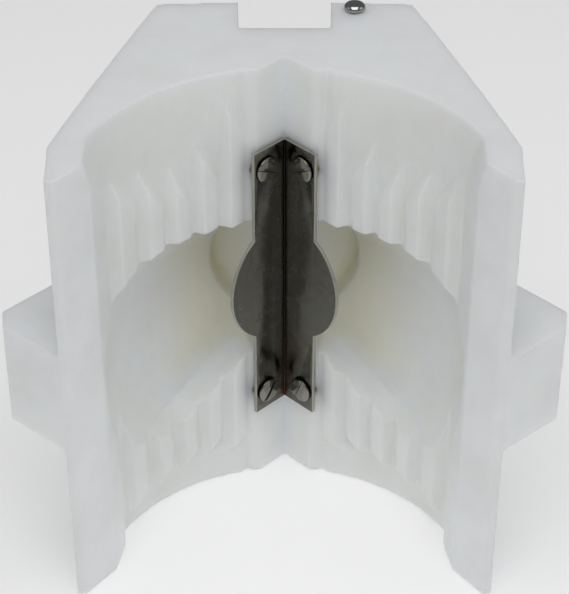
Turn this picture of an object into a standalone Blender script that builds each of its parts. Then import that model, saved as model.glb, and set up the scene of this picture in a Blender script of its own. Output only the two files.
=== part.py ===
"""Half-round press cradle with a V-bent guard plate.

Metres, +Z up. The origin is at the bottom centre of the bounding box, +X runs along the
two side lugs and +Y runs from the open front of the bore to the notched back.
"""
import math

import bmesh
import bpy
from mathutils import Matrix, Vector

# ---- Bore --------------------------------------------------------------------------------
BORE_RADIUS = 0.050
BORE_AXIS_AHEAD = 0.0005         # the bore's axis lies this far in front of the front face
BORE_STEPS = 44                  # facets of the half-round bore

# ---- Block -------------------------------------------------------------------------------
BLOCK_HEIGHT = 0.131
BACK_THICKNESS = 0.0335          # from the bore to the back face, on the middle plane
LEG_WALL = 0.0051                # from the bore to the widest place of the block
SHOULDER_SETBACK = 0.0144        # from the front face back to the widest place
FRONT_TAPER = 0.0006             # each side narrows by this much from there to the front
BACK_HALF_WIDTH = 0.033          # where the sloping side meets the back face
BACK_CORNER_DROP = 0.0011        # the back face falls away slightly towards its corners
SIDE_BOW = 0.0005                # the sloping side is very slightly bowed outwards
LEG_TIP_WIDTH = 0.0023           # flat at the front end of each leg
LEG_CHAMFER = 0.0091             # depth of the bevel on the inside of each leg
LEG_INSET = 0.00515              # how far the leg's inner face stands in from the bore

# ---- Plate and its V trough ----------------------------------------------------------------
FIT_GAP = 0.0003                 # between pieces that touch
PLATE_THICKNESS = 0.0010
PLATE_WING = 0.01075             # front face of one wing, fold to edge
PLATE_HALF_LENGTH = 0.0422
PLATE_BULGE_RADIUS = 0.0189
PLATE_FOLD_DEPTH = 0.0045        # from the bore back to the plate's front fold line
RELIEF_LAND = 0.0022             # strip of bore between the trough and the groove beside it
RELIEF_WIDTH = 0.0029            # narrow V groove beside the trough
RELIEF_DEPTH = 0.0013

# ---- Notch in the back face ------------------------------------------------------------------
NOTCH_HALF_WIDTH = 0.0120
NOTCH_TAPER = 0.0004             # each side of the notch narrows by this much to its floor
RECESS_WEB = 0.0036              # wall left between the recess and the notch's floor

# ---- Fins -----------------------------------------------------------------------------------
FIN_COUNT = 5
FIN_OFFSET = 0.0016              # from the near side of the groove to the first fin
FIN_NOSE_SHARE = 0.44            # where a fin's nose stands, as a share of its width
FIN_CORNER_INSETS = (0.0003, 0.0007, 0.0015, 0.0020, 0.0018)    # inner corner, in from the bore
FIN_NOSE_INSET = 0.0022          # how far its nose stands in from the bore
FIN_VALLEY_DEPTH = 0.0012        # how far its outer valley is cut into the wall
FIN_ROOT = 0.004                 # how far a fin runs back into the wall
FIN_OVERLAP = 0.0003             # how far it runs on into the next fin
VALLEY_OVERCUT = 0.00015         # the wall is first set back this much deeper than the valleys
FIN_TOP_DROPS = (0.0009, 0.0135, 0.0175, 0.0162, 0.0125)    # below the top face, at the valley
FIN_TOP_SLOPE = 2.5              # rise over run of a fin's slanted top
FIN_END_RISES = (0.0071, 0.0083, 0.0066, 0.0046, 0.0026)    # above the bottom, at the valley
FIN_END_SLOPE = 1.0              # fall over run of a fin's slanted lower end
VALLEY_TOP_DROP = 0.0135         # the wall between the fins is back out at the bore here
VALLEY_TOP_FADE = 0.0220         # and reaches its full depth this much lower
VALLEY_END_RISE = 0.0100         # the same at the lower end, above the bottom
VALLEY_END_FADE = 0.0035
VALLEY_CLEARANCE = 0.0001        # the cutter leaves the wall this far in front of it
LEG_CORNER_INSET = 0.00635       # where the last fin ends, in from the bore's widest place
LEG_STEP = 0.0022                # the leg's inner face stands in from the bore like one more fin
LEG_NOSE_WIDTH = 0.00065
LEG_NOSE_AHEAD = 0.0037
LEG_STEP_DROP = 0.0165           # below the top face, where the leg's step starts to run out
LEG_STEP_SLOPE = 5.0

# ---- Recess at mid height ----------------------------------------------------------------------
RECESS_INSET = 0.0043            # the recess's radius is this much smaller than the bore's
RECESS_AXIS_BEHIND = 0.0205      # behind the front face
RECESS_ROOF = 0.0205             # above mid height
RECESS_FLOOR = 0.0445            # below mid height
RECESS_ROOF_POWER = 8            # how squarely the roof turns down into the wall
RECESS_FLOOR_POWER = 9           # how squarely the floor turns up into it
PEDESTAL_COVER = 0.0132          # the floor rises this far above the lower screws, to hold them
PEDESTAL_INNER_X = 0.0105
PEDESTAL_OUTER_X = 0.0380
RECESS_AROUND = 64
RECESS_RINGS = 9

POCKET_CLEARANCE = 0.0011        # round pocket behind the plate's bulge, all round it
POCKET_WEB = 0.0028              # wall left between the pocket and the notch

# ---- Lugs -----------------------------------------------------------------------------------------
LUG_REACH = 0.0151               # beyond the widest place of the block
LUG_FRONT_SETBACK = 0.0130       # from the front face to the lug's front corner
LUG_LAND = 0.0064                # width of its outer land
LUG_LAND_TAPER = 0.0008
LUG_ROOT_DEPTH = 0.0151          # how far its slope runs on into the block
LUG_FOOT_SETBACK = 0.0005
LUG_BOTTOM = 0.0491
LUG_HEIGHT = 0.0301

# ---- Fasteners ------------------------------------------------------------------------------------
SCREW_ALONG_WING = 0.0066        # from the fold
SCREW_FROM_END = 0.0060          # from the plate's end
SCREW_HEAD_RADIUS = 0.0035
SCREW_HEAD_RIM = 0.0004
SCREW_HEAD_DOME = 0.0006
SCREW_SHANK_RADIUS = 0.0020
SCREW_LENGTH = 0.0115
SLOT_WIDTH = 0.0010
SLOT_DEPTH = 0.0007
INSERT_WALL = 0.0004
INSERT_LENGTH = 0.0080
INSERT_SETBACK = 0.0012          # below the trough's face, so that none of it stands out of the bore
SLOT_ANGLES = {"upper_left": -28.0, "upper_right": 30.0, "lower_left": 54.0, "lower_right": 67.0}

PIN_FROM_NOTCH = 0.0060
PIN_FROM_BACK = 0.0040
PIN_HEAD_RADIUS = 0.00275
PIN_HEAD_RIM = 0.0005
PIN_HEAD_DOME = 0.0014
PIN_SHANK_RADIUS = 0.0015
PIN_LENGTH = 0.0100

ROUND_STEPS = 28

# ---- Places worked out from the sizes above --------------------------------------------------------
DIAGONAL = math.sqrt(0.5)
BLOCK_DEPTH = BORE_RADIUS - BORE_AXIS_AHEAD + BACK_THICKNESS
BLOCK_HALF_WIDTH = BORE_RADIUS + LEG_WALL
FRONT_HALF_WIDTH = BLOCK_HALF_WIDTH - FRONT_TAPER
FRONT_Y = -BLOCK_DEPTH / 2
BACK_Y = BLOCK_DEPTH / 2
MID_Z = BLOCK_HEIGHT / 2
BORE_Y = FRONT_Y - BORE_AXIS_AHEAD
PLATE_FOLD_Y = BORE_Y + BORE_RADIUS + PLATE_FOLD_DEPTH
TROUGH_FOLD_Y = PLATE_FOLD_Y + (PLATE_THICKNESS + FIT_GAP) / DIAGONAL
TROUGH_REACH = TROUGH_FOLD_Y - BORE_Y
TROUGH_EDGE_X = (TROUGH_REACH - math.sqrt(2 * BORE_RADIUS ** 2 - TROUGH_REACH ** 2)) / 2
RELIEF_INNER_X = TROUGH_EDGE_X + RELIEF_LAND
RELIEF_OUTER_X = RELIEF_INNER_X + RELIEF_WIDTH
RECESS_RADIUS = BORE_RADIUS - RECESS_INSET
RECESS_Y = FRONT_Y + RECESS_AXIS_BEHIND
NOTCH_FLOOR_Y = RECESS_Y + RECESS_RADIUS + RECESS_WEB
LEG_CORNER_X = BORE_RADIUS - LEG_CORNER_INSET
LEG_NOSE_X = LEG_CORNER_X - LEG_NOSE_WIDTH
FIN_START_X = RELIEF_INNER_X + FIN_OFFSET
FIN_PITCH = (LEG_CORNER_X - FIN_START_X) / FIN_COUNT
SCREW_FROM_MIDDLE = PLATE_HALF_LENGTH - SCREW_FROM_END
PEDESTAL_FLOOR = SCREW_FROM_MIDDLE - PEDESTAL_COVER
CLEAR_RADIUS = SCREW_SHANK_RADIUS + FIT_GAP
INSERT_RADIUS = CLEAR_RADIUS + INSERT_WALL


def start_clean():
    for thing in list(bpy.data.objects):
        bpy.data.objects.remove(thing, do_unlink=True)


def material(name, colour, roughness, metallic):
    made = bpy.data.materials.new(name)
    made.use_nodes = True
    shader = made.node_tree.nodes["Principled BSDF"]
    shader.inputs["Base Color"].default_value = (*colour, 1.0)
    shader.inputs["Roughness"].default_value = roughness
    shader.inputs["Metallic"].default_value = metallic
    return made


def new_object(name, work, finish=None, smooth_degrees=None):
    """Turn a bmesh into a linked object with its normals facing out."""
    bmesh.ops.recalc_face_normals(work, faces=work.faces)
    mesh = bpy.data.meshes.new(name)
    work.to_mesh(mesh)
    work.free()
    if smooth_degrees is not None:
        mesh.shade_smooth()
        mesh.set_sharp_from_angle(angle=math.radians(smooth_degrees))
    if finish is not None:
        mesh.materials.append(finish)
    made = bpy.data.objects.new(name, mesh)
    bpy.context.scene.collection.objects.link(made)
    return made


def add_prism(work, outline, bottoms, tops):
    """Add a closed prism on a plan outline, with a bottom and a top height at each corner."""
    low = [work.verts.new((x, y, z)) for (x, y), z in zip(outline, bottoms)]
    high = [work.verts.new((x, y, z)) for (x, y), z in zip(outline, tops)]
    work.faces.new(low)
    work.faces.new(high)
    for i in range(len(outline)):
        j = (i + 1) % len(outline)
        work.faces.new((low[i], low[j], high[j], high[i]))


def add_both_sides(work, outline, bottoms, tops):
    add_prism(work, outline, bottoms, tops)
    mirrored = [(-x, y) for x, y in reversed(outline)]
    add_prism(work, mirrored, bottoms[::-1], tops[::-1])


def add_turned(work, profile, steps, placement):
    """Add a body turned about its own Z from (radius, z) points that end on the axis."""
    rings = []
    for radius, z in profile:
        if radius == 0:
            rings.append([work.verts.new(placement @ Vector((0, 0, z)))])
            continue
        ring = []
        for i in range(steps):
            turn = 2 * math.pi * i / steps
            ring.append(work.verts.new(placement @ Vector((radius * math.cos(turn), radius * math.sin(turn), z))))
        rings.append(ring)
    for ring, following in zip(rings, rings[1:]):
        for i in range(steps):
            j = (i + 1) % steps
            if len(ring) == 1:
                work.faces.new((ring[0], following[i], following[j]))
            elif len(following) == 1:
                work.faces.new((ring[i], following[0], ring[j]))
            else:
                work.faces.new((ring[i], following[i], following[j], ring[j]))


def combine(body, tool, operation):
    """Give the body a Boolean with a tool that is not itself a piece."""
    tool.hide_render = True
    tool.display_type = "WIRE"
    step = body.modifiers.new(tool.name, "BOOLEAN")
    step.operation = operation
    step.solver = "EXACT"
    step.object = tool


def bore_y(x, inset=0.0):
    """Y of the bore's wall at a given X, or of a circle inset from it."""
    return BORE_Y + math.sqrt((BORE_RADIUS - inset) ** 2 - x * x)


# ---- Block ---------------------------------------------------------------------------------------------

def bore_points(x_from, x_to):
    start = math.asin(x_from / BORE_RADIUS)
    end = math.asin(x_to / BORE_RADIUS)
    count = max(2, round(BORE_STEPS * (end - start) / math.pi))
    turns = [start + (end - start) * i / count for i in range(count + 1)]
    return [(BORE_RADIUS * math.sin(t), BORE_Y + BORE_RADIUS * math.cos(t)) for t in turns]


def side_points():
    """The sloping side, from the shoulder back to the back face, as a very shallow bow."""
    shoulder = Vector((BLOCK_HALF_WIDTH, FRONT_Y + SHOULDER_SETBACK))
    corner = Vector((BACK_HALF_WIDTH, BACK_Y - BACK_CORNER_DROP))
    along = corner - shoulder
    outwards = Vector((along.y, -along.x)).normalized()
    steps = 6
    points = []
    for i in range(steps + 1):
        share = i / steps
        points.append(tuple(shoulder + along * share + outwards * SIDE_BOW * 4 * share * (1 - share)))
    return points


def leg_points():
    """The leg's step and its inner face, from the bore forwards."""
    corner_y = bore_y(LEG_CORNER_X) - LEG_STEP
    return [
        (LEG_CORNER_X, corner_y),
        (LEG_NOSE_X, corner_y - LEG_NOSE_AHEAD),
        (BORE_RADIUS - LEG_INSET, FRONT_Y + LEG_CHAMFER),
    ]


def half_outline():
    """Right half of the block's plan, from the trough's fold round to the notch's floor."""
    relief_apex_x = (RELIEF_INNER_X + RELIEF_OUTER_X) / 2
    points = [(0.0, TROUGH_FOLD_Y)]
    points += bore_points(TROUGH_EDGE_X, RELIEF_INNER_X)
    points.append((relief_apex_x, bore_y(relief_apex_x) + RELIEF_DEPTH))
    points += bore_points(RELIEF_OUTER_X, LEG_CORNER_X)
    points += leg_points()
    points.append((FRONT_HALF_WIDTH - LEG_TIP_WIDTH, FRONT_Y))
    points.append((FRONT_HALF_WIDTH, FRONT_Y))
    points += side_points()
    points.append((NOTCH_HALF_WIDTH, BACK_Y))
    points.append((NOTCH_HALF_WIDTH - NOTCH_TAPER, NOTCH_FLOOR_Y))
    return points


def make_block(finish):
    right = half_outline()
    left = [(-x, y) for x, y in reversed(right[1:])]
    outline = right + left
    work = bmesh.new()
    add_prism(work, outline, [0.0] * len(outline), [BLOCK_HEIGHT] * len(outline))
    return new_object("cradle_body", work, finish, smooth_degrees=25)


def make_lugs():
    land_y = FRONT_Y + LUG_FRONT_SETBACK
    span = BLOCK_HALF_WIDTH + LUG_REACH
    root_x = BLOCK_HALF_WIDTH - LUG_ROOT_DEPTH
    outline = [
        (FRONT_HALF_WIDTH - LEG_TIP_WIDTH / 2, FRONT_Y + LUG_FOOT_SETBACK),
        (FRONT_HALF_WIDTH, FRONT_Y + LUG_FOOT_SETBACK),
        (span - LUG_LAND_TAPER, land_y),
        (span, land_y + LUG_LAND),
        (root_x, land_y + LUG_LAND + (span - root_x)),
    ]
    work = bmesh.new()
    add_both_sides(work, outline, [LUG_BOTTOM] * len(outline), [LUG_BOTTOM + LUG_HEIGHT] * len(outline))
    return new_object("lug_stock", work)


# ---- Fins ----------------------------------------------------------------------------------------------

def fin_plan(index):
    """Inner corner, nose and valley of one fin, in plan."""
    inner_x = FIN_START_X + FIN_PITCH * index
    nose_x = inner_x + FIN_PITCH * FIN_NOSE_SHARE
    outer_x = inner_x + FIN_PITCH
    corner = (inner_x, bore_y(inner_x, FIN_CORNER_INSETS[index]))
    nose = (nose_x, bore_y(nose_x, FIN_NOSE_INSET))
    valley = (outer_x, bore_y(outer_x, -FIN_VALLEY_DEPTH))
    return corner, nose, valley


def valley_line(nose, valley, x):
    """Y of the fin's outer face, or of that face carried on past the valley."""
    return nose[1] + (valley[1] - nose[1]) * (x - nose[0]) / (valley[0] - nose[0])


def add_fin(work, index):
    corner, nose, valley = fin_plan(index)
    end_x = valley[0] + FIN_OVERLAP
    outline = [
        corner,
        nose,
        (end_x, valley_line(nose, valley, end_x)),
        (end_x, valley[1] + FIN_ROOT),
        (corner[0], bore_y(corner[0]) + FIN_ROOT),
    ]
    tops = [BLOCK_HEIGHT - FIN_TOP_DROPS[index] - FIN_TOP_SLOPE * (end_x - x) for x, _ in outline]
    ends = [FIN_END_RISES[index] + FIN_END_SLOPE * (end_x - x) for x, _ in outline]
    add_both_sides(work, outline, ends, tops)


def make_leg_relief():
    """Cutters that run the leg's step out into the plain bore near the top face."""
    free_x = LEG_NOSE_X - FIN_ROOT
    ahead_y = FRONT_Y - FIN_ROOT
    outline = [(free_x, ahead_y)]
    outline += [(x, y) for x, y in reversed(bore_points(LEG_CORNER_X, BORE_RADIUS * 0.998))]
    outline.append((free_x, bore_y(LEG_CORNER_X)))
    ends = [BLOCK_HEIGHT - LEG_STEP_DROP + LEG_STEP_SLOPE * (x - LEG_NOSE_X) for x, _ in outline]
    top = max(BLOCK_HEIGHT, max(ends)) + FIN_ROOT
    work = bmesh.new()
    add_both_sides(work, outline, ends, [top] * len(outline))
    return new_object("leg_relief_cutter", work)


def valley_section():
    """(inset from the bore, height) points round an upright section of the wall's cutter."""
    depth = FIN_VALLEY_DEPTH + VALLEY_OVERCUT
    top = BLOCK_HEIGHT - VALLEY_TOP_DROP
    return [
        (FIN_NOSE_INSET, VALLEY_END_RISE),
        (VALLEY_CLEARANCE, VALLEY_END_RISE),
        (-depth, VALLEY_END_RISE + VALLEY_END_FADE),
        (-depth, top - VALLEY_TOP_FADE),
        (VALLEY_CLEARANCE, top),
        (FIN_NOSE_INSET, top),
    ]


def make_valleys():
    """Cutters that set the wall behind the fins back to their valleys, and run out at both ends."""
    section = valley_section()
    places = [x for x, _ in bore_points(FIN_START_X + FIN_OVERLAP, LEG_CORNER_X + FIN_OVERLAP / 2)]
    work = bmesh.new()
    for side in (1, -1):
        rings = []
        for x in places:
            rings.append([work.verts.new((side * x, bore_y(x, inset), z)) for inset, z in section])
        for ring, following in zip(rings, rings[1:]):
            for i in range(len(section)):
                j = (i + 1) % len(section)
                work.faces.new((ring[i], following[i], following[j], ring[j]))
        work.faces.new(rings[0])
        work.faces.new(rings[-1])
    bmesh.ops.triangulate(work, faces=work.faces)
    return new_object("valley_cutter", work)


def make_fins(indices, name):
    work = bmesh.new()
    for index in indices:
        add_fin(work, index)
    return new_object(name, work)


# ---- Recess and pocket --------------------------------------------------------------------------------

def recess_floor(x):
    """Depth of the recess's floor below mid height: raised in the middle under the plate."""
    share = (abs(x) - PEDESTAL_INNER_X) / (PEDESTAL_OUTER_X - PEDESTAL_INNER_X)
    share = min(1.0, max(0.0, share))
    eased = math.sin(share * math.pi / 2)
    return PEDESTAL_FLOOR + (RECESS_FLOOR - PEDESTAL_FLOOR) * eased


def recess_point(ring_share, turn, upper):
    """A point of the recess: ring_share runs from 0 on the axis to 1 at the widest place."""
    radius = RECESS_RADIUS * math.sin(ring_share * math.pi / 2)
    x = radius * math.sin(turn)
    y = RECESS_Y + radius * math.cos(turn)
    reach = radius / RECESS_RADIUS
    if upper:
        z = MID_Z + RECESS_ROOF * math.sqrt(1 - reach ** RECESS_ROOF_POWER)
    else:
        z = MID_Z - recess_floor(x) * math.sqrt(1 - reach ** RECESS_FLOOR_POWER)
    return (x, y, z)


def make_recess():
    """A round barrel with a domed roof and a floor that rises in the middle."""
    work = bmesh.new()
    shares = [i / RECESS_RINGS for i in range(1, RECESS_RINGS)]
    rings = [[work.verts.new(recess_point(0.0, 0.0, True))]]
    for upper, run in ((True, shares), (None, [1.0]), (False, shares[::-1])):
        for share in run:
            turns = [2 * math.pi * i / RECESS_AROUND for i in range(RECESS_AROUND)]
            rings.append([work.verts.new(recess_point(share, turn, upper is True)) for turn in turns])
    rings.append([work.verts.new(recess_point(0.0, 0.0, False))])
    for ring, following in zip(rings, rings[1:]):
        for i in range(RECESS_AROUND):
            j = (i + 1) % RECESS_AROUND
            if len(ring) == 1:
                work.faces.new((ring[0], following[i], following[j]))
            elif len(following) == 1:
                work.faces.new((ring[i], following[0], ring[j]))
            else:
                work.faces.new((ring[i], following[i], following[j], ring[j]))
    return new_object("recess_cutter", work)


def make_pocket():
    floor_y = NOTCH_FLOOR_Y - POCKET_WEB
    start_y = RECESS_Y + RECESS_RADIUS / 2
    radius = PLATE_BULGE_RADIUS + POCKET_CLEARANCE
    depth = floor_y - start_y
    profile = [(0, 0), (radius, 0), (radius, depth), (0, depth)]
    placement = Matrix.Translation((0, start_y, MID_Z)) @ Matrix.Rotation(-math.pi / 2, 4, "X")
    work = bmesh.new()
    add_turned(work, profile, 2 * ROUND_STEPS, placement)
    return new_object("pocket_cutter", work)


# ---- Guard plate ------------------------------------------------------------------------------------------

def wing_frame(side, z):
    """Frame on one wing at a screw: local Z points out of the block, local Y points up."""
    along = Vector((side * DIAGONAL, -DIAGONAL, 0))
    outwards = Vector((-side * DIAGONAL, -DIAGONAL, 0))
    up = Vector((0, 0, 1))
    across = up.cross(outwards)
    place = Vector((0, PLATE_FOLD_Y, z)) + along * SCREW_ALONG_WING
    turn = Matrix((across, up, outwards)).transposed().to_4x4()
    return Matrix.Translation(place) @ turn


def screw_places():
    return {
        "upper_left": (-1, MID_Z + SCREW_FROM_MIDDLE),
        "upper_right": (1, MID_Z + SCREW_FROM_MIDDLE),
        "lower_left": (-1, MID_Z - SCREW_FROM_MIDDLE),
        "lower_right": (1, MID_Z - SCREW_FROM_MIDDLE),
    }


def wing_edge():
    """(distance from the fold, height) points down a wing's free edge, with its round bulge."""
    half_chord = math.sqrt(PLATE_BULGE_RADIUS ** 2 - PLATE_WING ** 2)
    start = math.atan2(half_chord, PLATE_WING)
    points = [(PLATE_WING, PLATE_HALF_LENGTH)]
    steps = ROUND_STEPS
    for i in range(steps + 1):
        turn = start - 2 * start * i / steps
        points.append((PLATE_BULGE_RADIUS * math.cos(turn), PLATE_BULGE_RADIUS * math.sin(turn)))
    points.append((PLATE_WING, -PLATE_HALF_LENGTH))
    return points


def make_plate(finish):
    """Both wings in one closed shell: front skin, back skin and the edge between them."""
    edge = wing_edge()
    back_shift = PLATE_THICKNESS * DIAGONAL
    work = bmesh.new()

    def column(side, is_back):
        verts = []
        for reach, height in edge:
            x = side * reach * DIAGONAL
            y = PLATE_FOLD_Y - reach * DIAGONAL
            if is_back:
                x += side * back_shift
                y += back_shift
            verts.append(work.verts.new((x, y, MID_Z + height)))
        return verts

    def fold(is_back):
        y = PLATE_FOLD_Y + (PLATE_THICKNESS * math.sqrt(2) if is_back else 0)
        return [work.verts.new((0, y, MID_Z + height)) for _, height in edge]

    front_fold, back_fold = fold(False), fold(True)
    for side in (1, -1):
        front, back = column(side, False), column(side, True)
        for i in range(len(edge) - 1):
            work.faces.new((front_fold[i], front_fold[i + 1], front[i + 1], front[i]))
            work.faces.new((back_fold[i], back[i], back[i + 1], back_fold[i + 1]))
            work.faces.new((front[i], front[i + 1], back[i + 1], back[i]))
        for end in (0, -1):
            work.faces.new((front_fold[end], front[end], back[end], back_fold[end]))
    return new_object("guard_plate", work, finish)


def make_drill(name, radius, start, end):
    """Cylinders at the four screws, from one depth to another along the screw's axis."""
    work = bmesh.new()
    profile = [(0, start), (radius, start), (radius, end), (0, end)]
    for side, z in screw_places().values():
        add_turned(work, profile, ROUND_STEPS, wing_frame(side, z))
    return new_object(name, work)


# ---- Fasteners --------------------------------------------------------------------------------------------

def dome_profile(radius, start, rim, dome):
    """(radius, z) points up the side of a low round head and over its dome to the axis."""
    points = [(radius, start), (radius, start + rim)]
    steps = 5
    for i in range(1, steps):
        turn = math.pi / 2 * i / steps
        points.append((radius * math.cos(turn), start + rim + dome * math.sin(turn)))
    points.append((0, start + rim + dome))
    return points


def make_screw(name, side, z, slot_degrees, finish):
    profile = [(0, -SCREW_LENGTH), (SCREW_SHANK_RADIUS, -SCREW_LENGTH), (SCREW_SHANK_RADIUS, FIT_GAP)]
    profile += dome_profile(SCREW_HEAD_RADIUS, FIT_GAP, SCREW_HEAD_RIM, SCREW_HEAD_DOME)
    frame = wing_frame(side, z)
    work = bmesh.new()
    add_turned(work, profile, ROUND_STEPS, Matrix.Identity(4))
    screw = new_object(name, work, finish, smooth_degrees=35)
    screw.matrix_world = frame
    top = FIT_GAP + SCREW_HEAD_RIM + SCREW_HEAD_DOME
    reach = SCREW_HEAD_RADIUS * 2
    outline = [(-reach, -SLOT_WIDTH / 2), (reach, -SLOT_WIDTH / 2), (reach, SLOT_WIDTH / 2), (-reach, SLOT_WIDTH / 2)]
    work = bmesh.new()
    add_prism(work, outline, [top - SLOT_DEPTH] * 4, [top + SLOT_DEPTH] * 4)
    slot = new_object(name + "_slot_cutter", work)
    slot.matrix_world = frame @ Matrix.Rotation(math.radians(slot_degrees), 4, "Z")
    combine(screw, slot, "DIFFERENCE")
    return screw


def make_insert(name, side, z, finish):
    """Threaded insert in the block, level with the trough's wall and clear of the screw."""
    start = -(PLATE_THICKNESS + FIT_GAP + INSERT_SETBACK)
    end = start - INSERT_LENGTH
    inner = CLEAR_RADIUS
    frame = wing_frame(side, z)
    work = bmesh.new()
    rings = []
    for radius, height in ((inner, start), (INSERT_RADIUS, start), (INSERT_RADIUS, end), (inner, end)):
        ring = []
        for i in range(ROUND_STEPS):
            turn = 2 * math.pi * i / ROUND_STEPS
            ring.append(work.verts.new(frame @ Vector((radius * math.cos(turn), radius * math.sin(turn), height))))
        rings.append(ring)
    for k in range(4):
        ring, following = rings[k], rings[(k + 1) % 4]
        for i in range(ROUND_STEPS):
            j = (i + 1) % ROUND_STEPS
            work.faces.new((ring[i], following[i], following[j], ring[j]))
    return new_object(name, work, finish, smooth_degrees=35)


def pin_place():
    return Matrix.Translation((NOTCH_HALF_WIDTH + PIN_FROM_NOTCH, BACK_Y - PIN_FROM_BACK, BLOCK_HEIGHT))


def make_pin(finish):
    profile = [(0, -PIN_LENGTH), (PIN_SHANK_RADIUS, -PIN_LENGTH), (PIN_SHANK_RADIUS, FIT_GAP)]
    profile += dome_profile(PIN_HEAD_RADIUS, FIT_GAP, PIN_HEAD_RIM, PIN_HEAD_DOME)
    work = bmesh.new()
    add_turned(work, profile, ROUND_STEPS, pin_place())
    return new_object("dome_pin", work, finish, smooth_degrees=35)


def make_pin_hole():
    radius = PIN_SHANK_RADIUS + FIT_GAP
    depth = PIN_LENGTH + FIT_GAP
    work = bmesh.new()
    add_turned(work, [(0, -depth), (radius, -depth), (radius, FIT_GAP), (0, FIT_GAP)], ROUND_STEPS, pin_place())
    return new_object("pin_hole_cutter", work)


def main():
    start_clean()
    plastic = material("white_acetal", (0.80, 0.82, 0.82), 0.45, 0.0)
    sheet_steel = material("polished_sheet_steel", (0.42, 0.41, 0.38), 0.22, 1.0)
    screw_steel = material("turned_screw_steel", (0.45, 0.44, 0.41), 0.25, 1.0)
    pin_steel = material("polished_pin_steel", (0.55, 0.55, 0.55), 0.12, 1.0)
    brass = material("insert_brass", (0.60, 0.45, 0.20), 0.35, 1.0)

    body = make_block(plastic)
    combine(body, make_lugs(), "UNION")
    combine(body, make_leg_relief(), "DIFFERENCE")
    combine(body, make_valleys(), "DIFFERENCE")
    combine(body, make_fins((0, 2, 4), "odd_fin_stock"), "UNION")
    combine(body, make_fins((1, 3), "even_fin_stock"), "UNION")
    combine(body, make_recess(), "DIFFERENCE")
    combine(body, make_pocket(), "DIFFERENCE")
    insert_end = PLATE_THICKNESS + FIT_GAP + INSERT_SETBACK + INSERT_LENGTH + FIT_GAP
    hole_end = max(insert_end, SCREW_LENGTH + FIT_GAP)
    combine(body, make_drill("insert_hole_cutter", INSERT_RADIUS + FIT_GAP, 0.0, -hole_end), "DIFFERENCE")
    combine(body, make_pin_hole(), "DIFFERENCE")

    plate = make_plate(sheet_steel)
    combine(plate, make_drill("plate_hole_cutter", CLEAR_RADIUS, SLOT_DEPTH, -2 * PLATE_THICKNESS), "DIFFERENCE")

    for name, (side, z) in screw_places().items():
        make_screw("plate_screw_" + name, side, z, SLOT_ANGLES[name], screw_steel)
        make_insert("threaded_insert_" + name, side, z, brass)
    make_pin(pin_steel)


main()
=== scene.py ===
"""The visual model of a half-round press cradle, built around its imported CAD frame.

Run it as a script. Everything is in metres, in the frame's own axes: +Z up along the bore,
+X along the side lugs and +Y from the open front to the notched back.
"""

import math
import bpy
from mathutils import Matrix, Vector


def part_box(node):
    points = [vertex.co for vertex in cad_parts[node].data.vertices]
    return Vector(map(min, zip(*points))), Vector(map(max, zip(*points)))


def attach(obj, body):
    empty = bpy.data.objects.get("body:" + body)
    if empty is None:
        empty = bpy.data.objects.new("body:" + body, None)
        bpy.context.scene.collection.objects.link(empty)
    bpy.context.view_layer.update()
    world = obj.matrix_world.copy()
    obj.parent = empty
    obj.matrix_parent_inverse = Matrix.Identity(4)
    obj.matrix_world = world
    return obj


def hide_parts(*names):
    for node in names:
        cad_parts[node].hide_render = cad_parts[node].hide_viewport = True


bl_info = {
    "name": "Press Cradle",
    "version": (1, 0, 0),
    "blender": (4, 5, 0),
    "location": "View3D > Sidebar > Press Cradle",
    "description": "Builds a half-round plastic press cradle with its steel guard plate",
    "category": "Add Mesh",
}

import bmesh
import bpy
from bpy.props import FloatProperty, FloatVectorProperty, IntProperty, PointerProperty
from mathutils import Matrix, Vector

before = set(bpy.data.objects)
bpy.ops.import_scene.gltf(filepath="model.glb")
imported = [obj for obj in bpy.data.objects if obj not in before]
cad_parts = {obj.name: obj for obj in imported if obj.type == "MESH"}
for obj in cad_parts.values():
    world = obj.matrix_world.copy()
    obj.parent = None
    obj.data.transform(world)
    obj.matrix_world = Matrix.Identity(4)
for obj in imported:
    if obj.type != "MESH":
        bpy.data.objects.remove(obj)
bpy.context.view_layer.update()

PLATE_LOW, PLATE_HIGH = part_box("guard_plate")
BLOCK_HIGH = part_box("cradle_body")[1]
MID_Z = (PLATE_LOW.z + PLATE_HIGH.z) / 2
DIAGONAL = math.sqrt(0.5)
BORE_Y = -0.0420          # the bore's upright axis
RECESS_Y = -0.0210        # the recess's upright axis
BORE_SHADE_TINT = 0.22         # how far the painted warm shade tints the bore's wall, against the recess's
SEAT_GAP = 0.0003         # fit gap under the heads of the screws and the pin
FLOOR_DROP = 0.0005       # the floor lies this far below the block
CAMERA_PLACE = (0.0, -0.4258, 0.3887)
CAMERA_TILT = 37.08       # degrees below level
SCREWS = {
    "upper_left": (-1, 1, -28.0),
    "upper_right": (1, 1, 30.0),
    "lower_left": (-1, -1, 54.0),
    "lower_right": (1, -1, 67.0),
}


def linear(hex_colour):
    """An sRGB hex colour as linear red, green and blue."""
    channels = [int(hex_colour[i:i + 2], 16) / 255 for i in (0, 2, 4)]
    return [c / 12.92 if c <= 0.04045 else ((c + 0.055) / 1.055) ** 2.4 for c in channels]


# ---- Sizes and colours a user would change -------------------------------------------------------

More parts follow.
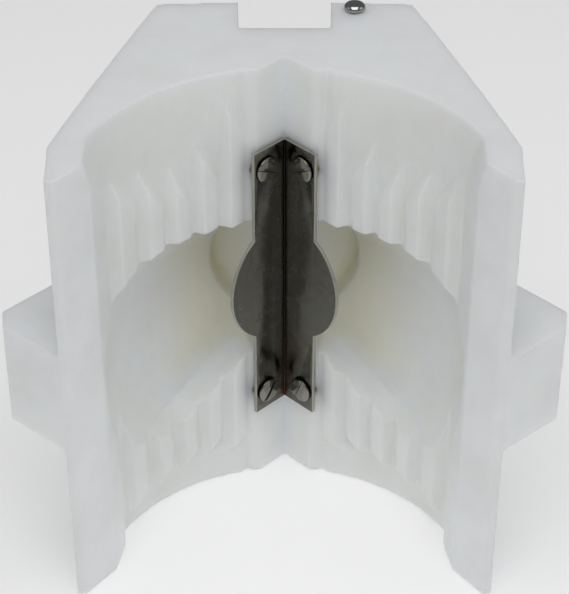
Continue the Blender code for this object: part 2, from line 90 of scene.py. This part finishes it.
class CradleBlockSettings(bpy.types.PropertyGroup):
    skin_detail: FloatProperty(
        name="Skin detail",
        description="Spacing of the block's even skin, which sets how fine its edges are",
        default=0.0005,
        min=0.0003,
        unit="LENGTH",
    )
    edge_passes: IntProperty(
        name="Edge rounding",
        description="Passes that round the block's edges, as deburring and use do",
        default=5,
        min=1,
    )
    plastic: FloatVectorProperty(
        name="Plastic",
        description="Colour of the clean milky plastic",
        subtype="COLOR",
        default=linear("F2F5F8"),
    )
    plastic_stain: FloatVectorProperty(
        name="Stained plastic",
        description="Colour where juice has dulled the plastic a little",
        subtype="COLOR",
        default=linear("EDEFF0"),
    )
    # Painted shade: a warm, slightly darker tint that stands in for the bounced light and shade inside the
    # bore, the recess and the pocket.
    hollow_shade_tint: FloatVectorProperty(
        name="Hollow shade tint",
        description="Colour of the plastic where juice stands, in the recess and the pocket",
        subtype="COLOR",
        default=linear("EFEEE0"),
    )


class CradlePlateSettings(bpy.types.PropertyGroup):
    fold_radius: FloatProperty(
        name="Fold radius",
        description="Inside radius of the plate's fold",
        default=0.00018,
        min=0.0001,
        unit="LENGTH",
    )
    edge_radius: FloatProperty(
        name="Edge radius",
        description="Rounding of the plate's deburred edges",
        default=0.00016,
        min=0.0,
        unit="LENGTH",
    )
    steel: FloatVectorProperty(
        name="Sheet steel",
        description="Colour of the polished stainless sheet",
        subtype="COLOR",
        default=linear("6C6A63"),
    )
    # Painted highlight: the edge colour is lighter than the sheet, standing in for the bright glint along
    # the cut edges.
    edge_highlight: FloatVectorProperty(
        name="Cut edge",
        description="Colour of the bright deburred edge of the sheet",
        subtype="COLOR",
        default=linear("B0AEA6"),
    )
    # Painted shade: a dark line painted along the fold, standing in for the dark reflection and shade in the
    # crease.
    fold_painted_shade: FloatVectorProperty(
        name="Fold shade",
        description="Colour of the dull dark line left in the fold, where a cloth can't reach",
        subtype="COLOR",
        default=linear("25241F"),
    )
    rust: FloatVectorProperty(
        name="Tea stain",
        description="Colour of the thin rust bloom low in the fold",
        subtype="COLOR",
        default=linear("5B4030"),
    )


class CradleFastenerSettings(bpy.types.PropertyGroup):
    screw_edge: FloatProperty(
        name="Screw edge",
        description="Small chamfer on the screw head's rim and slot",
        default=0.00012,
        min=0.0,
        unit="LENGTH",
    )
    screw_steel: FloatVectorProperty(
        name="Screw steel",
        description="Colour of the turned stainless screws",
        subtype="COLOR",
        default=linear("86847C"),
    )
    pin_steel: FloatVectorProperty(
        name="Pin steel",
        description="Colour of the polished pin",
        subtype="COLOR",
        default=linear("A8A8A8"),
    )
    brass: FloatVectorProperty(
        name="Insert brass",
        description="Colour of the threaded inserts",
        subtype="COLOR",
        default=linear("C9A557"),
    )


class CradleStageSettings(bpy.types.PropertyGroup):
    floor: FloatVectorProperty(
        name="Floor",
        description="Colour of the plain pale floor",
        subtype="COLOR",
        default=linear("F7F7F7"),
    )
    floor_glow: FloatProperty(
        name="Floor glow",
        description="Light that the white light table gives off",
        default=0.20,
        min=0.0,
    )
    sky: FloatProperty(
        name="Soft light",
        description="Strength of the even light from all round",
        default=0.17,
        min=0.0,
    )
    overhead: FloatProperty(
        name="Overhead light",
        description="Power of the large soft light overhead, in watts",
        default=8.6,
        min=0.0,
    )
    side: FloatProperty(
        name="Side light",
        description="Power of the soft light on the right, in watts; the left one is weaker",
        default=1.2,
        min=0.0,
    )
    lens: FloatProperty(
        name="Lens",
        description="Focal length of the camera, in millimetres",
        default=124.07,
        min=10.0,
    )


# ---- Materials -----------------------------------------------------------------------------------

def add_node(tree, kind, settings=None, links=None):
    """Add one node, set its own values and its sockets' values, and link what feeds it."""
    node = tree.nodes.new(kind)
    for name, value in (settings or {}).items():
        if isinstance(name, str) and hasattr(node, name):
            setattr(node, name, value)
        else:
            node.inputs[name].default_value = value
    for name, source in (links or {}).items():
        tree.links.new(source, node.inputs[name])
    return node


def new_material(name, **sockets):
    """A Principled material with the numbers that are the same all over it set on its shader."""
    made = bpy.data.materials.new(name)
    made.use_nodes = True
    shader = made.node_tree.nodes["Principled BSDF"]
    for socket, value in sockets.items():
        shader.inputs[socket.replace("_", " ")].default_value = value
    return made, made.node_tree, shader


def rgba(colour):
    return (*colour, 1.0)


def mixed_colour(tree, share, first, second):
    mix = add_node(tree, "ShaderNodeMix", {"data_type": "RGBA"})
    tree.links.new(share, mix.inputs["Factor"])
    for socket, colour in ((mix.inputs[6], first), (mix.inputs[7], second)):
        if isinstance(colour, bpy.types.NodeSocket):
            tree.links.new(colour, socket)
        else:
            socket.default_value = rgba(colour)
    return mix.outputs[2]


def ramp(tree, source, start, end):
    """A smooth rise from 0 at start to 1 at end."""
    step = add_node(
        tree,
        "ShaderNodeMapRange",
        {"interpolation_type": "SMOOTHSTEP", "From Min": start, "From Max": end},
        {"Value": source},
    )
    return step.outputs[0]


def times(tree, first, second):
    """Product of a node's output and another output or a number."""
    if isinstance(second, bpy.types.NodeSocket):
        return add_node(tree, "ShaderNodeMath", {"operation": "MULTIPLY"}, {0: first, 1: second}).outputs[0]
    return add_node(tree, "ShaderNodeMath", {"operation": "MULTIPLY", 1: second}, {0: first}).outputs[0]


def absolute(tree, source):
    return add_node(tree, "ShaderNodeMath", {"operation": "ABSOLUTE"}, {0: source}).outputs[0]


def from_upright_axis(tree, apart, axis_y):
    """Distance from the upright axis on the middle plane at a given Y."""
    ahead = add_node(
        tree,
        "ShaderNodeMath",
        {"operation": "SUBTRACT", 1: axis_y},
        {0: apart.outputs["Y"]},
    )
    flat = add_node(
        tree,
        "ShaderNodeCombineXYZ",
        None,
        {"X": apart.outputs["X"], "Y": ahead.outputs[0]},
    )
    away = add_node(tree, "ShaderNodeVectorMath", {"operation": "LENGTH"}, {0: flat.outputs[0]})
    return away.outputs["Value"]


def recess_shade_share(tree, apart):
    """How far a point lies in the recess's wall, where a warm shade is painted for the bounced light and
    shade in this hollow.
    """
    from_axis = from_upright_axis(tree, apart, RECESS_Y)
    wall = times(tree, ramp(tree, from_axis, 0.0370, 0.0435), ramp(tree, from_axis, 0.0480, 0.0468))
    off_middle = absolute(tree, apart.outputs["X"])
    wall = times(tree, wall, ramp(tree, off_middle, 0.0430, 0.0180))
    height = apart.outputs["Z"]
    band = times(tree, ramp(tree, height, 0.0270, 0.0400), ramp(tree, height, 0.0875, 0.0820))
    return times(tree, wall, band)


def bore_shade_share(tree, apart, most):
    """How far a point lies on the bore's wall, where a light warm shade is painted all over."""
    from_axis = from_upright_axis(tree, apart, BORE_Y)
    wall = times(tree, ramp(tree, from_axis, 0.0560, 0.0525), ramp(tree, apart.outputs["Y"], -0.034, -0.022))
    below_top = ramp(tree, apart.outputs["Z"], BLOCK_HIGH.z - 0.0002, BLOCK_HIGH.z - 0.0020)
    return times(tree, times(tree, wall, below_top), most)


def pocket_shade_share(tree, apart):
    """How far a point lies in the pocket behind the plate's bulge, where the warm shade is also painted."""
    off_middle = absolute(tree, apart.outputs["X"])
    inside = times(
        tree,
        ramp(tree, off_middle, 0.0270, 0.0215),
        ramp(tree, apart.outputs["Y"], 0.0262, 0.0258),
    )
    behind_bore = ramp(tree, apart.outputs["Y"], 0.0090, 0.0120)
    height = apart.outputs["Z"]
    band = times(tree, ramp(tree, height, 0.0400, 0.0440), ramp(tree, height, 0.0900, 0.0860))
    return times(tree, times(tree, inside, behind_bore), band)


def milled_acetal(settings):
    """Milky acetal, milled from solid block.

    Light goes a few millimetres into it, so edges glow softly. The cutter leaves a satin face
    with faint marks along the bore, and juice leaves wide, very weak dull patches.
    """
    made, tree, shader = new_material(
        "milled_acetal", IOR=1.48, Subsurface_Weight=0.75, Subsurface_Scale=1.0
    )
    shader.inputs["Subsurface Radius"].default_value = (0.0130, 0.0122, 0.0105)
    place = add_node(tree, "ShaderNodeTexCoord").outputs["Object"]
    patches = add_node(
        tree,
        "ShaderNodeTexNoise",
        {"Scale": 1 / 0.014, "Detail": 4.0, "Roughness": 0.55},     # patches about 14 mm across
        {"Vector": place},
    )
    share = add_node(
        tree,
        "ShaderNodeMapRange",
        {"From Min": 0.40, "From Max": 0.72},
        {"Value": patches.outputs["Fac"]},
    )
    colour = mixed_colour(tree, share.outputs[0], settings.plastic, settings.plastic_stain)
    apart = add_node(tree, "ShaderNodeSeparateXYZ", None, {"Vector": place})
    # Painted shade: the bore's wall, the recess and the pocket take a warm, slightly darker tint, standing
    # in for the light bounced and shaded inside these hollows.
    colour = mixed_colour(tree, bore_shade_share(tree, apart, BORE_SHADE_TINT), colour, settings.hollow_shade_tint)
    colour = mixed_colour(tree, recess_shade_share(tree, apart), colour, settings.hollow_shade_tint)
    colour = mixed_colour(tree, pocket_shade_share(tree, apart), colour, settings.hollow_shade_tint)
    tree.links.new(colour, shader.inputs["Base Color"])
    # Cutter marks: 0.9 mm apart, coarser than the real 0.2 mm so that they show, long along Z.
    stretched = add_node(
        tree,
        "ShaderNodeMapping",
        {"Scale": (1 / 0.0009, 1 / 0.0009, 1 / 0.030)},
        {"Vector": place},
    )
    marks = add_node(
        tree,
        "ShaderNodeTexNoise",
        {"Scale": 1.0, "Detail": 2.0, "Roughness": 0.5},
        {"Vector": stretched.outputs[0]},
    )
    gloss = add_node(
        tree,
        "ShaderNodeMapRange",
        {"From Min": 0.3, "From Max": 0.7, "To Min": 0.40, "To Max": 0.52},
        {"Value": patches.outputs["Fac"]},
    )
    tree.links.new(gloss.outputs[0], shader.inputs["Roughness"])
    bump = add_node(
        tree,
        "ShaderNodeBump",
        {"Strength": 0.25, "Distance": 0.00004},
        {"Height": marks.outputs["Fac"]},
    )
    tree.links.new(bump.outputs[0], shader.inputs["Normal"])
    return made


def polished_sheet(settings):
    """Polished stainless sheet, handled for years.

    Its mirror face is broken by long rubbed streaks and hazy water marks, and a thin brown
    bloom sits low in the fold, where water stands.
    """
    made, tree, shader = new_material("polished_stainless_sheet", Metallic=1.0)
    place = add_node(tree, "ShaderNodeTexCoord").outputs["Object"]
    along = add_node(
        tree,
        "ShaderNodeMapping",
        {"Scale": (1 / 0.0011, 1 / 0.0011, 1 / 0.022)},      # streaks 1.1 mm apart, 22 mm long
        {"Vector": place},
    )
    streaks = add_node(
        tree,
        "ShaderNodeTexNoise",
        {"Scale": 1.0, "Detail": 5.0, "Roughness": 0.6},
        {"Vector": along.outputs[0]},
    )
    haze = add_node(
        tree,
        "ShaderNodeTexNoise",
        {"Scale": 1 / 0.006, "Detail": 3.0},                 # water marks about 6 mm across
        {"Vector": place},
    )
    apart = add_node(tree, "ShaderNodeSeparateXYZ", None, {"Vector": place})
    off_fold = absolute(tree, apart.outputs["X"])
    near_fold = add_node(
        tree,
        "ShaderNodeMapRange",
        {"From Min": 0.0002, "From Max": 0.0030, "To Min": 1.0, "To Max": 0.0},
        {"Value": off_fold},
    )
    low_down = add_node(
        tree,
        "ShaderNodeMapRange",
        {"From Min": MID_Z - 0.010, "From Max": PLATE_LOW.z, "To Min": 0.0, "To Max": 1.0},
        {"Value": apart.outputs["Z"]},
    )
    wet = times(tree, near_fold.outputs[0], low_down.outputs[0])
    bloom = times(tree, wet, haze.outputs["Fac"])
    dulled = [0.72 * c for c in settings.steel]
    face = mixed_colour(tree, streaks.outputs["Fac"], settings.steel, dulled)
    # Painted shade: the colour darkens towards the fold, standing in for the dark reflection and shade in
    # the crease.
    face = mixed_colour(tree, ramp(tree, off_fold, 0.0010, 0.0002), face, settings.fold_painted_shade)
    colour = mixed_colour(tree, bloom, face, settings.rust)
    tree.links.new(colour, shader.inputs["Base Color"])
    gloss = add_node(
        tree,
        "ShaderNodeMapRange",
        {"From Min": 0.35, "From Max": 0.70, "To Min": 0.16, "To Max": 0.34},
        {"Value": haze.outputs["Fac"]},
    )
    tree.links.new(gloss.outputs[0], shader.inputs["Roughness"])
    bump = add_node(
        tree,
        "ShaderNodeBump",
        {"Strength": 0.2, "Distance": 0.00003},
        {"Height": streaks.outputs["Fac"]},
    )
    tree.links.new(bump.outputs[0], shader.inputs["Normal"])
    return made


def turned_metal(name, colour, roughness, ring_pitch, depth):
    """Metal turned on a lathe: fine rings of tool marks break its shine into short arcs."""
    made, tree, shader = new_material(name, Metallic=1.0, Base_Color=rgba(colour))
    place = add_node(tree, "ShaderNodeTexCoord").outputs["Object"]
    rings = add_node(
        tree,
        "ShaderNodeTexNoise",
        {"Scale": 1 / ring_pitch, "Detail": 3.0, "Roughness": 0.6},
        {"Vector": place},
    )
    gloss = add_node(
        tree,
        "ShaderNodeMapRange",
        {"From Min": 0.3, "From Max": 0.7, "To Min": roughness * 0.75, "To Max": roughness * 1.35},
        {"Value": rings.outputs["Fac"]},
    )
    tree.links.new(gloss.outputs[0], shader.inputs["Roughness"])
    bump = add_node(
        tree,
        "ShaderNodeBump",
        {"Strength": 0.2, "Distance": depth},
        {"Height": rings.outputs["Fac"]},
    )
    tree.links.new(bump.outputs[0], shader.inputs["Normal"])
    return made


# ---- Mesh helpers --------------------------------------------------------------------------------

def link_piece(name, mesh, *finishes):
    piece = bpy.data.objects.new(name, mesh)
    bpy.context.scene.collection.objects.link(piece)
    for finish in finishes:
        mesh.materials.append(finish)
    return piece


def settle(piece):
    """Apply a piece's modifiers and its placement, so that what is left is plain mesh."""
    bpy.context.view_layer.update()
    graph = bpy.context.evaluated_depsgraph_get()
    mesh = bpy.data.meshes.new_from_object(piece.evaluated_get(graph))
    mesh.transform(piece.matrix_world)
    old = piece.data
    piece.modifiers.clear()
    piece.data = mesh
    piece.matrix_world = Matrix.Identity(4)
    bpy.data.meshes.remove(old)
    mesh.name = piece.name


def turned_mesh(name, profile, steps):
    """A closed body turned about Z from (radius, z) points that start and end on the axis."""
    work = bmesh.new()
    rings = []
    for radius, z in profile:
        if radius == 0:
            rings.append([work.verts.new((0, 0, z))] * steps)
            continue
        turns = [2 * math.pi * i / steps for i in range(steps)]
        rings.append([work.verts.new((radius * math.cos(t), radius * math.sin(t), z)) for t in turns])
    for ring, following in zip(rings, rings[1:]):
        for i in range(steps):
            j = (i + 1) % steps
            corners = list(dict.fromkeys((ring[i], following[i], following[j], ring[j])))
            work.faces.new(corners)
    bmesh.ops.recalc_face_normals(work, faces=work.faces)
    mesh = bpy.data.meshes.new(name)
    work.to_mesh(mesh)
    work.free()
    return mesh


def smooth_by_angle(mesh, degrees):
    mesh.shade_smooth()
    mesh.set_sharp_from_angle(angle=math.radians(degrees))


def rounded(piece, width, segments, degrees):
    """Round every edge that is sharper than an angle."""
    edge = piece.modifiers.new("edge_rounding", "BEVEL")
    edge.width = width
    edge.segments = segments
    edge.limit_method = "ANGLE"
    edge.angle_limit = math.radians(degrees)
    edge.miter_outer = "MITER_ARC"
    return edge


def stand_for(piece, node):
    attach(piece, "root")
    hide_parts(node)


# ---- Pieces --------------------------------------------------------------------------------------

class CRADLE_OT_block(bpy.types.Operator):
    """Skin the milled block evenly and round its edges"""

    bl_idname = "cradle.block"
    bl_label = "Cradle block"

    def execute(self, context):
        settings = context.scene.cradle_block
        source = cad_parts["cradle_body"]
        mesh = source.data.copy()
        mesh.materials.clear()
        piece = link_piece("cradle_block", mesh, milled_acetal(settings))
        skin = piece.modifiers.new("even_skin", "REMESH")
        skin.mode = "VOXEL"
        skin.voxel_size = settings.skin_detail
        skin.use_smooth_shade = True
        ease = piece.modifiers.new("eased_edges", "SMOOTH")
        ease.factor = 0.5
        ease.iterations = settings.edge_passes
        settle(piece)
        piece.data.shade_smooth()
        stand_for(piece, "cradle_body")
        return {"FINISHED"}


class CRADLE_OT_plate(bpy.types.Operator):
    """Bend the guard plate from one flat blank and round its edges"""

    bl_idname = "cradle.plate"
    bl_label = "Guard plate"

    thickness = 0.0010
    wing = 0.01075
    bulge_radius = 0.0189
    hole_radius = 0.0023
    hole_reach = 0.0066
    hole_height = (PLATE_HIGH.z - PLATE_LOW.z) / 2 - 0.0060
    fold_y = PLATE_HIGH.y - thickness * math.sqrt(2)

    def wing_loop(self, start, half_length):
        """One wing of the flat blank, as (reach from the fold, height) points."""
        half_chord = math.sqrt(self.bulge_radius ** 2 - self.wing ** 2)
        widest = math.atan2(half_chord, self.wing)
        steps = 72
        loop = [(start, half_length), (self.wing, half_length)]
        for i in range(steps + 1):
            turn = widest * (1 - 2 * i / steps)
            loop.append((self.bulge_radius * math.cos(turn), self.bulge_radius * math.sin(turn)))
        loop += [(self.wing, -half_length), (start, -half_length)]
        return loop

    def bent(self, side, reach, height, radius, arc):
        """Where a point of the flat blank's front face goes once the blank is folded."""
        if reach <= arc:
            turn = reach / radius
            x = radius * math.sin(turn)
            y = -radius * (1 - math.cos(turn))
        else:
            tangent = math.pi / 4
            x = radius * math.sin(tangent) + (reach - arc) * DIAGONAL
            y = -radius * (1 - math.cos(tangent)) - (reach - arc) * DIAGONAL
        crown = self.fold_y - radius * (1 / math.cos(math.pi / 4) - 1)
        return Vector((side * x, crown + y, MID_Z + height))

    def execute(self, context):
        settings = context.scene.cradle_plate
        radius = settings.fold_radius
        arc = radius * math.pi / 4
        half_length = (PLATE_HIGH.z - PLATE_LOW.z) / 2
        work = bmesh.new()
        for side in (1, -1):
            loops = [self.wing_loop(arc, half_length)]
            for up in (1, -1):
                turns = [2 * math.pi * i / 40 for i in range(40)]
                loops.append([
                    (
                        self.hole_reach + self.hole_radius * math.cos(t),
                        up * self.hole_height + self.hole_radius * math.sin(t),
                    )
                    for t in turns
                ])
            edges = []
            for loop in loops:
                verts = [work.verts.new(self.bent(side, r, h, radius, arc)) for r, h in loop]
                edges += [work.edges.new((verts[i], verts[(i + 1) % len(verts)])) for i in range(len(verts))]
            bmesh.ops.triangle_fill(work, edges=edges, use_beauty=True)
        steps = 4
        for side in (1, -1):
            for i in range(steps):
                near, far = arc * i / steps, arc * (i + 1) / steps
                corners = [(near, -1), (far, -1), (far, 1), (near, 1)]
                spots = [self.bent(side, r, up * half_length, radius, arc) for r, up in corners]
                work.faces.new([work.verts.new(spot) for spot in spots])
        bmesh.ops.remove_doubles(work, verts=work.verts, dist=1e-6)
        bmesh.ops.recalc_face_normals(work, faces=work.faces)
        if sum(face.normal.y * face.calc_area() for face in work.faces) > 0:
            bmesh.ops.reverse_faces(work, faces=work.faces)
        bmesh.ops.dissolve_limit(work, angle_limit=math.radians(0.5), verts=work.verts, edges=work.edges)
        mesh = bpy.data.meshes.new("guard_plate_bent")
        work.to_mesh(mesh)
        work.free()
        # Painted highlight: the rim material takes the lighter edge colour, standing in for the glint along
        # the sheet's edges.
        piece = link_piece("guard_plate_bent", mesh, polished_sheet(settings), turned_metal(
            "sheet_edge_highlight", settings.edge_highlight, 0.16, 0.0006, 0.00001
        ))
        body = piece.modifiers.new("sheet_thickness", "SOLIDIFY")
        body.thickness = self.thickness
        body.offset = -1.0
        body.use_even_offset = True
        body.material_offset_rim = 1
        edge = rounded(piece, settings.edge_radius, 3, 50)
        edge.material = 1
        settle(piece)
        smooth_by_angle(piece.data, 35)
        stand_for(piece, "guard_plate")
        return {"FINISHED"}


class CRADLE_OT_screws(bpy.types.Operator):
    """Turn the four plate screws, slot their heads and chamfer them"""

    bl_idname = "cradle.screws"
    bl_label = "Plate screws"

    head_radius = 0.0035
    head_rim = 0.0004
    head_dome = 0.0006
    seat = SEAT_GAP
    shank_radius = 0.0020
    length = 0.0115
    slot_width = 0.0010
    slot_depth = 0.0007

    def profile(self):
        points = [(0, -self.length), (self.shank_radius - 0.0004, -self.length)]
        points += [(self.shank_radius, -self.length + 0.0004), (self.shank_radius, self.seat)]
        points += [(self.head_radius - 0.0001, self.seat), (self.head_radius, self.seat + 0.0001)]
        base = self.seat + self.head_rim
        steps = 12
        for i in range(steps):
            turn = math.pi / 2 * i / steps
            points.append((self.head_radius * math.cos(turn), base + self.head_dome * math.sin(turn)))
        points.append((0, base + self.head_dome))
        return points

    def place(self, side, up):
        along = Vector((side * DIAGONAL, -DIAGONAL, 0))
        outwards = Vector((-side * DIAGONAL, -DIAGONAL, 0))
        upwards = Vector((0, 0, 1))
        across = upwards.cross(outwards)
        spot = Vector((0, CRADLE_OT_plate.fold_y, MID_Z + up * CRADLE_OT_plate.hole_height))
        spot += along * CRADLE_OT_plate.hole_reach
        turn = Matrix((across, upwards, outwards)).transposed().to_4x4()
        return Matrix.Translation(spot) @ turn

    def execute(self, context):
        settings = context.scene.cradle_fasteners
        steel = turned_metal("turned_stainless_screw", settings.screw_steel, 0.16, 0.0008, 0.00001)
        top = self.seat + self.head_rim + self.head_dome
        for name, (side, up, degrees) in SCREWS.items():
            mesh = turned_mesh("slotted_screw_" + name, self.profile(), 72)
            piece = link_piece("slotted_screw_" + name, mesh, steel)
            piece.matrix_world = self.place(side, up)
            cutter_mesh = bpy.data.meshes.new("slot_cutter")
            work = bmesh.new()
            bmesh.ops.create_cube(work, size=1.0)
            slot_size = (3 * self.head_radius, self.slot_width, 2 * self.slot_depth)
            bmesh.ops.scale(work, vec=slot_size, verts=work.verts)
            work.to_mesh(cutter_mesh)
            work.free()
            cutter = link_piece("slot_cutter", cutter_mesh)
            turn = Matrix.Rotation(math.radians(degrees), 4, "Z")
            cutter.matrix_world = piece.matrix_world @ Matrix.Translation((0, 0, top)) @ turn
            cut = piece.modifiers.new("slot", "BOOLEAN")
            cut.operation = "DIFFERENCE"
            cut.solver = "EXACT"
            cut.object = cutter
            rounded(piece, settings.screw_edge, 2, 40)
            settle(piece)
            smooth_by_angle(piece.data, 30)
            bpy.data.objects.remove(cutter)
            stand_for(piece, "plate_screw_" + name)
        return {"FINISHED"}


class CRADLE_OT_inserts(bpy.types.Operator):
    """Give the four threaded inserts their brass"""

    bl_idname = "cradle.inserts"
    bl_label = "Threaded inserts"

    def execute(self, context):
        settings = context.scene.cradle_fasteners
        brass = turned_metal("machined_brass", settings.brass, 0.32, 0.0006, 0.00002)
        for name in SCREWS:
            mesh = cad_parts["threaded_insert_" + name].data
            for i in range(len(mesh.materials)):
                mesh.materials[i] = brass
        return {"FINISHED"}


class CRADLE_OT_pin(bpy.types.Operator):
    """Turn the polished dome pin at the back of the top face"""

    bl_idname = "cradle.pin"
    bl_label = "Dome pin"

    def execute(self, context):
        settings = context.scene.cradle_fasteners
        low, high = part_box("dome_pin")
        head = (high.x - low.x) / 2
        seat = BLOCK_HIGH.z - low.z + SEAT_GAP
        shank = 0.0015
        rim = 0.0005
        dome = high.z - low.z - seat - rim
        profile = [(0, 0), (shank - 0.0003, 0), (shank, 0.0003), (shank, seat)]
        profile += [(head - 0.0002, seat), (head, seat + 0.0002)]
        steps = 16
        for i in range(steps):
            turn = math.pi / 2 * i / steps
            profile.append((head * math.cos(turn), seat + rim + dome * math.sin(turn)))
        profile.append((0, seat + rim + dome))
        steel = turned_metal("polished_pin_stainless", settings.pin_steel, 0.10, 0.0009, 0.00001)
        piece = link_piece("dome_pin_polished", turned_mesh("dome_pin_polished", profile, 72), steel)
        piece.matrix_world = Matrix.Translation(((low.x + high.x) / 2, (low.y + high.y) / 2, low.z))
        settle(piece)
        smooth_by_angle(piece.data, 40)
        stand_for(piece, "dome_pin")
        return {"FINISHED"}


# ---- Stage ---------------------------------------------------------------------------------------

class CRADLE_OT_stage(bpy.types.Operator):
    """Set the pale floor, the soft light and the camera"""

    bl_idname = "cradle.stage"
    bl_label = "Stage"

    def soft_light(self, name, place, size, power):
        lamp = bpy.data.lights.new(name, "AREA")
        lamp.shape = "SQUARE"
        lamp.size = size
        lamp.energy = power
        holder = bpy.data.objects.new(name, lamp)
        holder.location = place
        aim = Vector((0, 0, MID_Z)) - Vector(place)
        holder.rotation_euler = aim.to_track_quat("-Z", "Y").to_euler()
        bpy.context.scene.collection.objects.link(holder)

    def execute(self, context):
        settings = context.scene.cradle_stage
        mesh = bpy.data.meshes.new("floor")
        reach = 4.0
        corners = [(-reach, -reach, 0), (reach, -reach, 0), (reach, reach, 0), (-reach, reach, 0)]
        mesh.from_pydata(corners, [], [(0, 1, 2, 3)])
        paper, _, _ = new_material(
            "lit_white_acrylic",
            Base_Color=rgba(settings.floor),
            Roughness=0.9,
            Emission_Color=(1.0, 1.0, 1.0, 1.0),
            Emission_Strength=settings.floor_glow,
        )
        floor = link_piece("floor", mesh, paper)
        floor.location.z = -FLOOR_DROP

        sky = bpy.data.worlds.new("soft_studio")
        sky.use_nodes = True
        sky.node_tree.nodes["Background"].inputs["Color"].default_value = (1.0, 1.0, 1.0, 1.0)
        sky.node_tree.nodes["Background"].inputs["Strength"].default_value = settings.sky
        context.scene.world = sky
        self.soft_light("overhead_softbox", (0.0, -0.38, 1.24), 1.1, settings.overhead)
        self.soft_light("left_softbox", (-1.0, -0.05, 0.80), 0.7, 0.5 * settings.side)
        self.soft_light("right_softbox", (1.0, -0.05, 0.80), 0.7, settings.side)

        lens = bpy.data.cameras.new("camera")
        lens.lens = settings.lens
        lens.sensor_width = 36.0
        lens.clip_start = 0.01
        camera = bpy.data.objects.new("camera", lens)
        camera.location = CAMERA_PLACE
        camera.rotation_euler = (math.radians(90 - CAMERA_TILT), 0.0, 0.0)
        context.scene.collection.objects.link(camera)
        context.scene.camera = camera
        context.scene.view_settings.view_transform = "Standard"
        return {"FINISHED"}


class CRADLE_PT_panel(bpy.types.Panel):
    """Lists the cradle's pieces"""

    bl_idname = "CRADLE_PT_panel"
    bl_label = "Press Cradle"
    bl_space_type = "VIEW_3D"
    bl_region_type = "UI"
    bl_category = "Press Cradle"

    def draw(self, context):
        for operator in OPERATORS:
            self.layout.operator(operator.bl_idname)


SETTINGS = {
    "cradle_block": CradleBlockSettings,
    "cradle_plate": CradlePlateSettings,
    "cradle_fasteners": CradleFastenerSettings,
    "cradle_stage": CradleStageSettings,
}
OPERATORS = (
    CRADLE_OT_block,
    CRADLE_OT_plate,
    CRADLE_OT_screws,
    CRADLE_OT_inserts,
    CRADLE_OT_pin,
    CRADLE_OT_stage,
)


def register():
    for name, group in SETTINGS.items():
        bpy.utils.register_class(group)
        setattr(bpy.types.Scene, name, PointerProperty(type=group))
    for operator in OPERATORS:
        bpy.utils.register_class(operator)
    bpy.utils.register_class(CRADLE_PT_panel)


def unregister():
    bpy.utils.unregister_class(CRADLE_PT_panel)
    for operator in reversed(OPERATORS):
        bpy.utils.unregister_class(operator)
    for name, group in reversed(SETTINGS.items()):
        delattr(bpy.types.Scene, name)
        bpy.utils.unregister_class(group)


def main():
    register()
    bpy.ops.cradle.block()
    bpy.ops.cradle.plate()
    bpy.ops.cradle.screws()
    bpy.ops.cradle.inserts()
    bpy.ops.cradle.pin()
    bpy.ops.cradle.stage()


if __name__ == "__main__":
    main()
